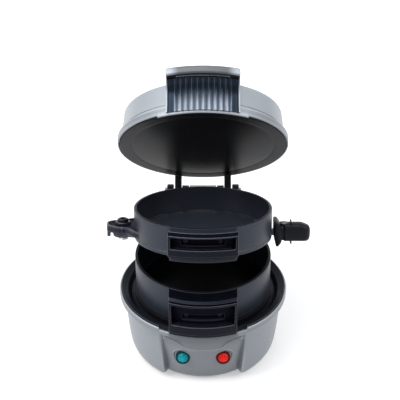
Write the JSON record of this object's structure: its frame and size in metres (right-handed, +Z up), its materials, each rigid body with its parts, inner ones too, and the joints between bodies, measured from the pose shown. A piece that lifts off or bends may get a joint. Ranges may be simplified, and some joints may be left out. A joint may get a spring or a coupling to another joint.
{
  "type": "breakfast sandwich maker",
  "caption": "Electric breakfast sandwich maker: round base, two hinged cooking rings, a swing-out plate between them and a hinged lid with a ribbed handle.",
  "frame": {"origin": "middle of the whole machine's bounding box in plan, on the feet's underside", "axes": "+Z up, -Y to the front where the ring handles and lamps are, +X to the right seen from the front"},
  "size_m": [0.1688, 0.1766, 0.2617],
  "materials": {
    "silver_shell": "silver lacquer, soft sheen",
    "black_trim": "satin black",
    "coated_ring": "dark non-stick coating",
    "coated_plate": "dark non-stick coating",
    "black_handle": "moulded black",
    "dark_insert": "glossy smoked black",
    "dark_fixing": "black",
    "steel": "plain steel",
    "green_lens": "translucent green",
    "red_lens": "translucent red",
    "amber_lamp": "clear amber",
    "rubber_feet": "matt rubber",
    "pale_ceramic": "unglazed"
  },
  "bodies": {
    "base": {"base_housing": "silver_shell", "base_bottom_cover": "black_trim", "base_bezel": "black_trim", "lower_heating_plate": "coated_plate", "lower_heating_element": "steel", "lower_heat_shield": "steel", "lower_thermostat": "pale_ceramic", "thermal_fuse": "pale_ceramic", "terminal_block": "pale_ceramic", "green_lens": "green_lens", "red_lens": "red_lens", "green_lens_ring": "black_trim", "red_lens_ring": "black_trim", "green_lamp": "amber_lamp", "red_lamp": "amber_lamp", "rubber_foot_1": "rubber_feet", "rubber_foot_2": "rubber_feet", "rubber_foot_3": "rubber_feet", "rubber_foot_4": "rubber_feet", "cover_screw_1": "steel", "cover_screw_2": "steel", "cord_gland": "black_trim", "hinge_tower": "black_trim", "hinge_pin": "steel", "hinge_pin_clip": "steel", "tower_screw_1": "steel", "tower_screw_2": "steel"},
    "bottom_leaf": {"bottom_ring": "coated_ring", "bottom_ring_handle": "black_handle", "bottom_ring_handle_screw_1": "steel", "bottom_ring_handle_screw_2": "steel"},
    "top_leaf": {"top_ring": "coated_ring", "top_ring_handle": "black_handle", "top_ring_handle_screw_1": "steel", "top_ring_handle_screw_2": "steel", "pivot_screw": "dark_fixing", "pivot_washer": "steel", "pivot_nut": "steel"},
    "swing_plate": {"cooking_plate": "coated_plate", "plate_handle_collar": "black_handle", "plate_handle_grip": "black_handle", "plate_handle_screw": "steel"},
    "lid": {"lid_shell": "silver_shell", "lid_bezel": "black_trim", "upper_heating_plate": "coated_plate", "upper_heating_element": "steel", "upper_heat_shield": "steel", "upper_thermostat": "pale_ceramic", "lid_handle_cap": "silver_shell", "lid_handle_insert": "dark_insert", "lid_hinge_bracket": "black_trim", "bracket_screw_1": "steel", "bracket_screw_2": "steel"}
  },
  "joints": [
    {"name": "bottom_ring_hinge", "type": "hinge", "parent": "base", "child": "bottom_leaf", "pos_m": [-0.0048, 0.0615, 0.108], "axis": [-1, 0, 0], "range_deg": [0, 34]},
    {"name": "top_ring_hinge", "type": "hinge", "parent": "bottom_leaf", "child": "top_leaf", "pos_m": [-0.0048, 0.0615, 0.108], "axis": [-1, 0, 0], "range_deg": [-14, 18]},
    {"name": "lid_hinge", "type": "hinge", "parent": "top_leaf", "child": "lid", "pos_m": [-0.0048, 0.0615, 0.108], "axis": [-1, 0, 0], "range_deg": [-38, 44]},
    {"name": "cooking_plate_swivel", "type": "hinge", "parent": "top_leaf", "child": "swing_plate", "pos_m": [-0.0713, -0.01301, 0.11297], "axis": [0, -0.2419, -0.9703], "range_deg": [0, 80]}
  ]
}
